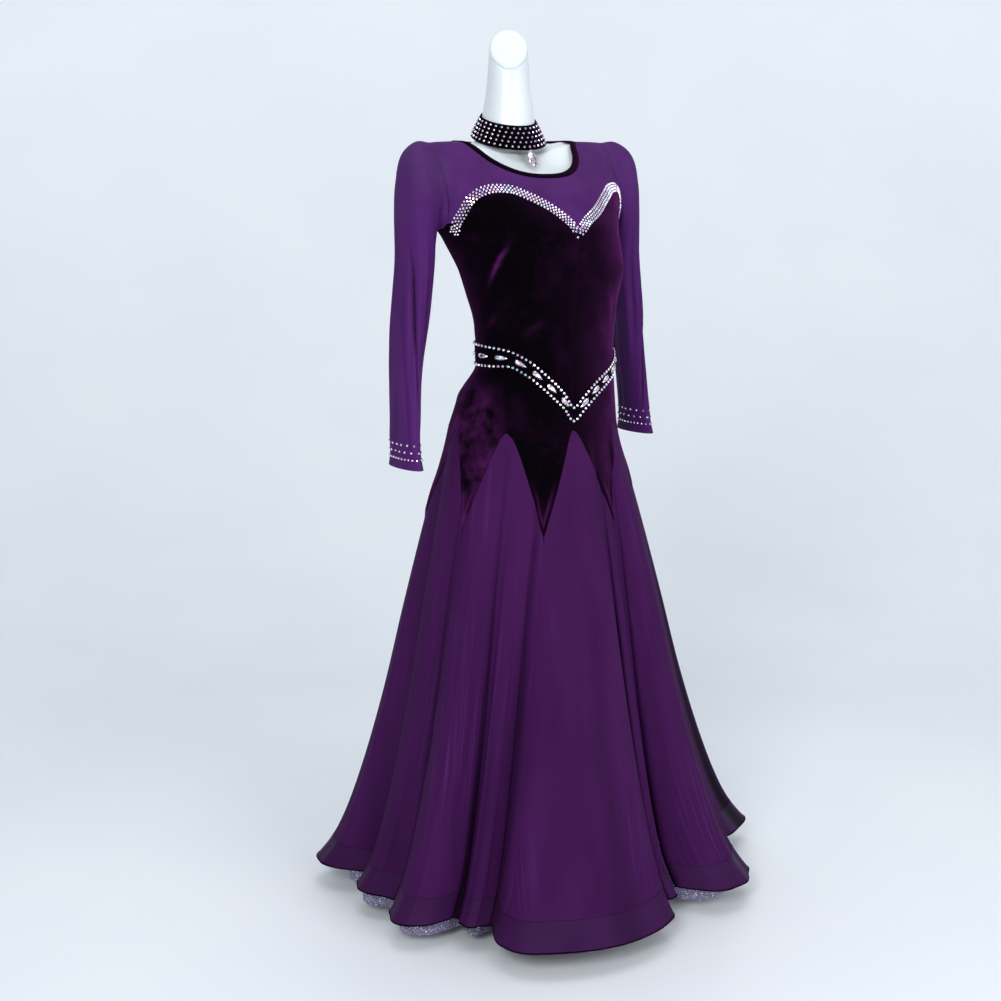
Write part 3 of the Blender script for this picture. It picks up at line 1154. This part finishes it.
def sleeve(name, sign, lift):
    """A set-in sleeve from the armhole over its square head down to the cuff, with its soft creases."""
    turn = np.radians(np.arange(SLEEVE_SIDES) * 360 / SLEEVE_SIDES)
    grid = sleeve_grid(turn, lift)
    normal = tube_normals(grid)
    normal[:, -1] = unit(normal[:, -1] * [0, 1, 1])
    around = np.broadcast_to(wrap(np.degrees(turn))[:, None], grid.shape[:2])
    fade = progress(np.arange(grid.shape[1])[None, ::-1], *SLEEVE_CALM)
    fade = fade * progress(grid[..., 2], *CUFF_FLAT)
    relief = sleeve_creases(around, grid[..., 2], sign) * fade
    grid = grid + normal * relief[..., None]
    inner, outer = grid - normal * CLOTH / 2, grid + normal * CLOTH / 2
    if sign < 0:
        inner, outer = (g[::-1] * [-1, 1, 1] for g in (inner, outer))
        relief = relief[::-1]
    wall(name + "_mesh", name, "mesh", mesh_cloth, inner, outer, True, cloth_uv(outer), relief)
    cuff_stones(name, outer, inner)
    seam = outer[:, -1] + (inner[:, -1] - outer[:, -1]) * SEAM_DEPTH
    tube(name + "_seam_cord", seam - [SEAM_CORD_IN * sign, 0, 0], SEAM_CORD, seam_thread, FINE_CORD, "mesh")


def sleeve_creases(around, heights, sign):
    """The sleeve's creases, a little lower and softer on the right sleeve."""
    strength, raised = (1, 0) if sign > 0 else RIGHT_SLEEVE
    rows = [(t0, h0, t1, h1, width, height * strength) for h0, t0, h1, t1, width, height in SLEEVE_CREASES]
    return creases(rows, around, heights + raised, radius=SLEEVE_RADIUS)


def form_shape(angle, station):
    """A point of the form before it is slimmed: the figure, on its foot."""
    below = section_point(SEAT + FIGURE, angle, station)
    return np.where((station > HIP)[..., None], figure(angle, np.maximum(station, HIP)), below)


def form():
    """The limbless form, smooth, with its slanted neck."""
    stations = np.unique(np.concatenate([np.linspace(*run) for run in FORM_ROWS]))
    angles = np.arange(0, 360, 360 / FORM_SIDES)
    grid, levels = np.meshgrid(angles, stations, indexing="ij")
    ridge = np.exp(-((np.abs(wrap(grid)) - 90) / RIDGE_SPREAD)**2) * curve(RIDGE, levels)
    slim = curve(FORM_SLIM, levels) * (1 - ridge)
    point = form_shape(grid, levels) - outward(form_shape, grid, levels) * slim[..., None]
    low, high, raised, lean = NECK_SLANT
    slant = progress(levels, low, high)**2
    turn = math.radians(NECK_TURN)
    rise = (point[..., 1] - NECK_Y) * math.cos(turn) + point[..., 0] * math.sin(turn)
    point[..., 2] += slant * (raised + lean * rise)
    dip = curve(THROAT, levels) * np.exp(-(point[..., 0] / THROAT_WIDTH)**4)
    point[..., 2] -= dip * progress(point[..., 1], *THROAT_Y)
    columns, count = grid.shape
    faces = quads(columns, count, True).tolist()
    faces.append([k * count for k in reversed(range(columns))])
    faces.append([k * count + count - 1 for k in range(columns)])
    body = make_object("form_shell", point.reshape(-1, 3), faces, [form_shell])
    finish_piece(body, "form", "form_body")
    neck_plate(point[:, -1])


def neck_plate(rim):
    """The oval plate that closes the neck."""
    columns, middle = len(rim), rim.mean(0)
    across, along = rim[columns // 4] - rim[3 * columns // 4], rim[columns // 2] - rim[0]
    up = unit(np.cross(along, across))
    up = up if up[2] > 0 else -up
    rings = np.array([middle + (rim - middle) * share + up * rise for share, rise in NECK_PLATE])
    points = np.concatenate([rings.reshape(-1, 3), [middle + up * NECK_PLATE_TOP]])
    k = np.arange(columns)
    n = (k + 1) % columns
    faces = [list(range(columns))[::-1]]
    for row in range(len(NECK_PLATE) - 1):
        a = row * columns
        faces += np.stack([a + k, a + n, a + columns + n, a + columns + k], -1).tolist()
    last = (len(NECK_PLATE) - 1) * columns
    faces += [[last + i, last + j, len(points) - 1] for i, j in zip(k.tolist(), n.tolist())]
    cap = make_object("neck_plate", points, faces, [form_shell])
    finish_piece(cap, "form", "form_neck_cap")


def choker_grid(sides, shares, extra=0.0):
    """Points of the choker's inside, or this much further out, and the way out there."""
    y, height = CHOKER_MIDDLE
    upper, lower = CHOKER_RADII
    angles = np.radians(np.arange(0, 360, 360 / sides))
    radius = lower + (upper - lower) * shares
    x = radius[None, :] * np.sin(angles)[:, None]
    ahead = -radius[None, :] * np.cos(angles)[:, None]
    z = height - CHOKER_HEIGHT * (1 - shares)[None, :] + CHOKER_TILT[0] * x + CHOKER_TILT[1] * ahead
    grid = np.stack([x, y + ahead, z], -1)
    normal = tube_normals(grid)
    return grid + normal * extra, normal


def choker():
    """The velvet choker with its rolled edges, its rows of stones and its pendant."""
    grid, normal = choker_grid(CHOKER_SIDES, np.linspace(0, 1, CHOKER_LEVELS))
    roll = CHOKER_PAD * np.sin(np.linspace(0, math.pi, CHOKER_LEVELS))[None, :, None]
    wall("choker_velvet", "choker", "trim", trim_velvet, grid, grid + normal * (TRIM + roll), True,
         cloth_uv(grid))
    for row, name in ((0, "lower"), (-1, "upper")):
        edge = grid[:, row] + normal[:, row] * TRIM * 0.5
        tube("choker_%s_edge" % name, edge, SEAM_CORD, trim_velvet, FINE_CORD, "trim")
    spots, outs = [], []
    rows = np.linspace(*CHOKER_SPREAD, CHOKER_ROWS)
    fine, out = choker_grid(CHOKER_FINE, rows, TRIM + CHOKER_PAD)
    for row in range(CHOKER_ROWS):
        arc = np.linalg.norm(fine[1, row] - fine[0, row]) * CHOKER_FINE
        count = int(arc / CHOKER_PITCH)
        offset = 0.5 * (row % 2)
        index = ((np.arange(count) + offset) / count * CHOKER_FINE).astype(int) % CHOKER_FINE
        spots.append(fine[index, row])
        outs.append(out[index, row])
    stones("choker_stones", spots, outs, CHOKER_STONE, CHOKER_SEED)
    pendant(grid[0, 0] + normal[0, 0] * TRIM / 2)


def pendant(hang):
    """The faceted drop, its small bail and the bead at its foot."""
    width, length, depth = PENDANT
    sides = PENDANT_SIDES
    lean = math.radians(PENDANT_LEAN)
    down = unit(np.array([-PENDANT_SWAY, -math.sin(lean), -math.cos(lean)]))
    across = unit(np.array([1.0, 0.0, -PENDANT_SWAY]))
    out = unit(np.cross(across, down))
    widths = curve(DROP, np.array(PENDANT_ROWS))
    points = []
    for row, (along, share) in enumerate(zip(PENDANT_ROWS, widths)):
        for k in range(sides):
            a = math.tau * (k + 0.5 * (row % 2)) / sides
            points.append(hang + down * (PENDANT_GAP + length * along)
                          + across * width / 2 * share * math.cos(a) + out * depth * share * math.sin(a))
    faces = [list(range(sides)), [(len(PENDANT_ROWS) - 1) * sides + k for k in reversed(range(sides))]]
    for row in range(len(PENDANT_ROWS) - 1):
        for k in range(sides):
            n, a, b = (k + 1) % sides, row * sides, (row + 1) * sides
            if row % 2:
                faces += [(a + k, b + n, a + n), (a + k, b + k, b + n)]
            else:
                faces += [(a + n, a + k, b + k), (a + n, b + k, b + n)]
    looks = [random.Random(i).choice(DROP_MIX) for i in range(len(faces))]
    facets("drop_crystal", np.array(points), faces, looks, "pendant")
    turn = np.linspace(0, math.tau, BAIL_SIDES, endpoint=False)
    ring = (hang + down * BAIL_DROP + np.outer(np.cos(turn), out) * BAIL_SIZE[0]
            + np.outer(np.sin(turn), down) * BAIL_SIZE[1])
    tube("pendant_bail", ring, BAIL, steel, FINE_CORD, "crystal")
    foot = hang + down * (PENDANT_GAP + length)
    spot = foot + down * PENDANT_GAP / 3 + out * STONE_SEAT
    stones("pendant_bead", [[spot]], [[out]], BEAD, BEAD_SEED)


# Stones

def stones(name, spots, outs, size, seed, least=0.0):
    """Rows of round cut stones as one mesh: each has a girdle, a crown of facets and a table."""
    spots, outs = thin_out(np.concatenate(spots), np.concatenate(outs), least)
    sides = ROUND_SIDES
    rng = random.Random(seed)
    turn = np.arange(sides) * math.tau / sides
    aside = unit(np.cross(outs, SIDEWAYS))
    above = np.cross(outs, aside)
    rings = []
    for radius, height, shift in ROUND_CUT:
        a = turn + shift * math.tau / sides
        rings.append(spots[:, None] + size * (radius * spokes(aside, above, a) + height * outs[:, None]))
    points = np.stack(rings, 1).reshape(-1, 3)
    faces, looks = [], []
    for i in range(len(spots)):
        a = i * 3 * sides
        look = rng.choice(ROUND_MIX)
        faces.append([a + k for k in reversed(range(sides))])
        for k in range(sides):
            n = (k + 1) % sides
            faces += [(a + k, a + n, a + sides + n, a + sides + k),
                      (a + sides + k, a + sides + n, a + 2 * sides + k),
                      (a + sides + n, a + 2 * sides + n, a + 2 * sides + k)]
        faces.append([a + 2 * sides + k for k in range(sides)])
        count = 2 + 3 * sides
        looks += [look if rng.random() < SAME_LOOK else rng.choice(SPARK_MIX) for _ in range(count)]
    facets(name, points, faces, looks)


def facets(name, points, faces, looks, *nodes):
    """Cut crystal, flat on every facet."""
    made = make_object(name, points, faces, stone_looks, looks)
    made.data.shade_flat()
    finish_piece(made, "crystal", *nodes)


def arc_lengths(points):
    """Distance of each point along a polyline."""
    return np.concatenate([[0], np.cumsum(np.linalg.norm(np.diff(points, axis=0), axis=1))])


def even_places(points, pitch):
    """Indices of even places along a polyline."""
    arc = arc_lengths(points)
    marks = np.linspace(0.0, arc[-1], max(1, int(arc[-1] / pitch)) + 1)
    return np.interp(marks, arc, np.arange(len(points))).round().astype(int)


def on_body(angles, stations, lift):
    """Points this far off the dress's surface, and the way out there."""
    normal = outward(surface, angles, stations)
    return surface(angles, stations) + normal * lift, normal


def sweetheart_stones():
    """Close staggered rows of stones along the velvet's upper edge, front only, that meet in a point."""
    spots, outs = [], []
    for way in (-1, 1):
        fine = way * np.linspace(*BAND_REACH, BAND_FINE)
        side = way * fine
        heights = curve(BAND, fine)
        steep = (float(curve(BAND, way * 2.0)) - float(curve(BAND, 0.0))) / 2.0
        heights = np.where(side < 0, float(curve(BAND, 0.0)) + steep * side, heights)
        line, normal = on_body(fine, heights, 0.0)
        upwards = way * np.cross(normal, unit(np.gradient(line, axis=0)))
        arc = arc_lengths(line)
        arc -= np.interp(0, side, arc)
        for row in range(BAND_ROWS):
            offset = (row - (BAND_ROWS - 1) / 2) * BAND_SPACING
            angles, stations = moved(fine, heights, upwards * offset)
            marks = BAND_PITCH * (np.arange(-12, 60) + 0.5 * (row % 2))
            marks = marks[(marks > arc[0]) & (marks < arc[-1])]
            keep = np.interp(marks, arc, np.arange(len(arc))).round().astype(int)
            keep = keep[way * angles[keep] >= 0]
            points, out = on_body(angles[keep], stations[keep], EASE + CLOTH + STONE_SEAT)
            spots.append(points)
            outs.append(out)
    stones("sweetheart_stones", spots, outs, BAND_STONE, SWEETHEART_SEED, BAND_LEAST)


def moved(angles, stations, step):
    """Angles and stations a short step away on the body."""
    round_it = surface(angles + 0.5, stations) - surface(angles - 0.5, stations)
    up_it = (surface(angles, stations + 0.0005) - surface(angles, stations - 0.0005)) / 0.001
    a, b, c = ((u * v).sum(-1) for u, v in ((round_it, round_it), (round_it, up_it), (up_it, up_it)))
    d, e = (round_it * step).sum(-1), (up_it * step).sum(-1)
    det = a * c - b * b
    return angles + (c * d - b * e) / det, stations + (a * e - b * d) / det


def thin_out(spots, outs, least):
    """Drop each spot that is closer than the least distance to one before it."""
    kept = []
    for k, spot in enumerate(spots):
        if all(np.linalg.norm(spot - spots[j]) >= least for j in kept):
            kept.append(k)
    return spots[kept], outs[kept]


def belt_path(way, share, lift):
    """Half the belt from its front, at a share of its width: fine points over it, and the way out there."""
    angles = np.linspace(0, 180 * way, BELT_FINE)
    return on_body(angles, belt_line(angles, share), EASE + CLOTH + LAY + TRIM + lift)


def belt_stones():
    """A row of round stones along each edge of the belt, and large teardrops between them."""
    spots, outs = [], []
    for share in BELT_EDGES:
        for way in (1, -1):
            points, out = belt_path(way, share, BELT_SEATS[0])
            keep = even_places(points, BELT_PITCH)
            spots.append(points[keep])
            outs.append(out[keep])
    stones("belt_stones", spots, outs, BELT_ROUND, BELT_SEED, BELT_LEAST)
    middles, points, ups = [], [], []
    for way in (1, -1):
        line, normal = belt_path(way, 0.5, BELT_SEATS[1])
        arc = arc_lengths(line)
        pitch = (arc[-1] - BELT_FIRST - BELT_LAST) / (BELT_STONES - 1)
        places = BELT_FIRST + pitch * np.arange(BELT_STONES)
        if way > 0:
            places = np.append(places, arc[-2])
        for mark in np.interp(places, arc, np.arange(len(arc))).astype(int):
            middles.append(line[mark])
            points.append(unit(line[mark - 1] - line[mark + 1]))
            ups.append(normal[mark])
    middles, points, ups = map(np.array, (middles, points, ups))
    teardrops("belt_teardrops", middles, points, np.cross(ups, points), ups)


def teardrops(name, middles, points, sides, outs):
    """Pear cut stones: round at one end, drawn to a point at the other, with two rings of facets."""
    length, width, height = BELT_STONE
    count = PEAR_SIDES
    turn = np.arange(count) * math.tau / count
    rng = random.Random(PEAR_SEED)
    verts, faces, looks = [], [], []
    for m, p, s, o in zip(middles, points, sides, outs):
        a0 = len(verts)
        for scale, rise in PEAR_CUT:
            for a in turn:
                taper = 1 - PEAR_TAPER * ((1 + math.cos(a)) / 2)**PEAR_POWER
                verts.append(m + scale * (p * math.cos(a) * length / 2 + s * math.sin(a) * width / 2 * taper)
                             + o * height * rise)
        for ring in range(3):
            for k in range(count):
                n, a, b = (k + 1) % count, a0 + ring * count, a0 + (ring + 1) * count
                faces += [(a + k, a + n, b + n), (a + k, b + n, b + k)]
        faces.append([a0 + 3 * count + k for k in range(count)])
        faces.append([a0 + k for k in reversed(range(count))])
        looks += [rng.choice(PEAR_MIX) for _ in range(3 * 2 * count + 2)]
    facets(name, np.array(verts), faces, looks)


def cuff_stones(name, outer, inner):
    """Three rows of stones round a cuff."""
    spots, outs = [], []
    normal = unit(outer - inner)
    lowest = outer[:, 0, 2].mean()
    for rise, pitch, shift in CUFF_ROWS:
        ring, out = [], []
        for column in range(len(outer)):
            z = outer[column, :, 2]
            row = np.interp(lowest + rise, z[:24], np.arange(24))
            a, share = int(row), row - int(row)
            ring.append(outer[column, a] * (1 - share) + outer[column, a + 1] * share)
            out.append(normal[column, a])
        ring, out = np.array(ring + ring[:1]), np.array(out + out[:1])
        arc = arc_lengths(ring)
        count = int(arc[-1] / pitch)
        marks = (np.arange(count) + shift) / count * arc[-1]
        ring, out = (np.stack([np.interp(marks, arc, line[:, k]) for k in range(3)], -1)
                     for line in (ring, out))
        spots.append(ring + unit(out) * STONE_SEAT)
        outs.append(unit(out))
    stones(name + "_cuff_stones", spots, outs, CUFF_STONE, CUFF_SEED)


def side_zip():
    """The coil of the concealed zip in the left side seam."""
    stations = np.linspace(*ZIP_ENDS, ZIP_FINE)
    points, out = on_body(np.full_like(stations, 90.0), stations, EASE + CLOTH * 0.55)
    index = even_places(points, ZIP_TEETH)
    corners = np.array([(-1, -1, 0), (1, -1, 0), (1, 1, 0), (-1, 1, 0)])
    corners = np.concatenate([corners, corners + [0, 0, 1]])
    box = ((0, 3, 2, 1), (4, 5, 6, 7), (0, 1, 5, 4), (1, 2, 6, 5), (2, 3, 7, 6), (3, 0, 4, 7))
    verts, faces = [], []
    for k, i in enumerate(index[:-1]):
        run = unit(points[min(i + 5, ZIP_FINE - 1)] - points[max(i - 5, 0)])
        axes = np.array([np.cross(out[i], run) * ZIP_TOOTH[0], run * ZIP_TOOTH[1], out[i] * ZIP_TOOTH[2]])
        verts.append(points[i] + corners @ axes)
        faces += [tuple(8 * k + corner for corner in face) for face in box]
    finish_piece(make_object("side_zip_coil", np.concatenate(verts), faces, [black_tape]), "trim")


# Sheets of cloth

def declare_sheets():
    """The size each piece of cloth was cut to, how it is held and what it lies on or is sewn to."""
    velvets = ["velvet_" + name for name in PANELS]
    gores = ["skirt_gore_%d" % (k + 1) for k in range(GORES)]
    mesh_yokes = ["yoke_front", "yoke_back"]
    rows = [(node, "stretched", ["form_body"]) for node in velvets]
    rows += [(gores[k], "hung", [velvets[k - 1], velvets[k]]) for k in range(GORES)]
    rows += [("hem_band", "hung", gores), ("petticoat", "gathered", ["form_body"])]
    rows += [(node, "stretched", ["form_body"]) for node in mesh_yokes]
    rows += [("neckline_binding", "stretched", mesh_yokes), ("belt", "stretched", velvets),
             ("choker", "stretched", ["form_body"])]
    rows += [(node, "hung", mesh_yokes) for node in ("sleeve_left", "sleeve_right")]



# Stage

SWEEP_TURN = math.radians(36)              # the way that the camera looks
SWEEP_START, SWEEP_RADIUS, SWEEP_TOP = 1.3, 4.2, 7.0
SWEEP_HALF = 9.0                           # half its width, and how far it runs forwards
FAR_GLOW = 0.33
DAYLIGHT, SKY = (0.90, 0.94, 1.0), 0.42    # colour, and strength of the light from all round
# A lamp's name, place, aim, width and power
LAMPS = (
    ("key", (-2.9, -2.3, 2.6), (0, 0, 0.9), 1.3, 78),
    ("fill", (0.4, -3.5, 1.5), (0, 0, 0.9), 2.2, 60),
    ("top", (0.2, 0.2, 3.6), (0, 0.1, 0.8), 2.6, 34),
)
CAMERA = (-1.7046, -2.3461, 1.345)
CAMERA_TILT, CAMERA_TURN = math.radians(78.06), math.radians(-34.762)
LENS, SENSOR = 59.88, 36.0


def stage():
    """A pale floor that sweeps up, well outside the dress's turntable, into a wall that glows evenly."""
    look = plain_look("pale_floor", (0.79, 0.84, 0.89), (0.84, 0.88, 0.92), 0.5, 1.5)
    position = look.node("ShaderNodeNewGeometry").outputs["Position"]
    away = look.node("ShaderNodeVectorMath", {0: position}, operation="LENGTH").outputs["Value"]
    glow = look.spread(away, SWEEP_START, SWEEP_START + SWEEP_RADIUS, 0.0, FAR_GLOW)
    look.shade({"Emission Color": DAYLIGHT, "Emission Strength": glow})
    ahead = np.array([math.sin(SWEEP_TURN), math.cos(SWEEP_TURN), 0.0])
    aside = np.array([ahead[1], -ahead[0], 0.0])
    steps = [math.radians(step) for step in range(0, 91, 3)]
    line = [(-SWEEP_HALF, 0.0)]
    line += [(SWEEP_START + SWEEP_RADIUS * math.sin(step), SWEEP_RADIUS * (1 - math.cos(step)))
             for step in steps]
    line += [(SWEEP_START + SWEEP_RADIUS, SWEEP_TOP)]
    points = [ahead * out + aside * spot + [0, 0, height]
              for out, height in line for spot in (-SWEEP_HALF, SWEEP_HALF)]
    faces = [(2 * row, 2 * row + 1, 2 * row + 3, 2 * row + 2) for row in range(len(line) - 1)]
    make_object("floor", np.array(points), faces, [look.material])


def place_object(name, data, place, turn):
    """A lamp or camera in the scene."""
    made = bpy.data.objects.new(name, data)
    made.location = place
    made.rotation_euler = turn
    bpy.context.scene.collection.objects.link(made)
    return made


def lights_and_camera():
    """Three soft lamps, an even sky and the photograph's camera."""
    for name, place, target, width, power in LAMPS:
        data = bpy.data.lights.new(name, "AREA")
        data.shape = "RECTANGLE"
        data.size = data.size_y = width
        data.energy = power
        aim = np.array(target, float) - np.array(place, float)
        place_object(name, data, place, (math.atan2(math.hypot(aim[0], aim[1]), -aim[2]), 0,
                                         math.atan2(-aim[0], aim[1])))
    world = bpy.data.worlds.new("studio")
    world.use_nodes = True
    sky = world.node_tree.nodes["Background"]
    sky.inputs["Color"].default_value = (*DAYLIGHT, 1.0)
    sky.inputs["Strength"].default_value = SKY
    bpy.context.scene.world = world
    data = bpy.data.cameras.new("camera")
    data.sensor_width, data.lens = SENSOR, LENS
    bpy.context.scene.camera = place_object("camera", data, CAMERA, (CAMERA_TILT, 0, CAMERA_TURN))
    bpy.context.scene.view_settings.view_transform = "Standard"


velvet_panels()
skirt_gores()
hem()
petticoat()
yokes()
binding()
belt()
sleeve("sleeve_left", 1, LEFT_LIFT)
sleeve("sleeve_right", -1, 0.0)
form()
choker()
sweetheart_stones()
belt_stones()
side_zip()
for node in ("stand_base", "stand_pole"):
    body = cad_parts[node]
    body.data.materials.clear()
    body.data.materials.append(steel)

declare_sheets()
stage()
lights_and_camera()
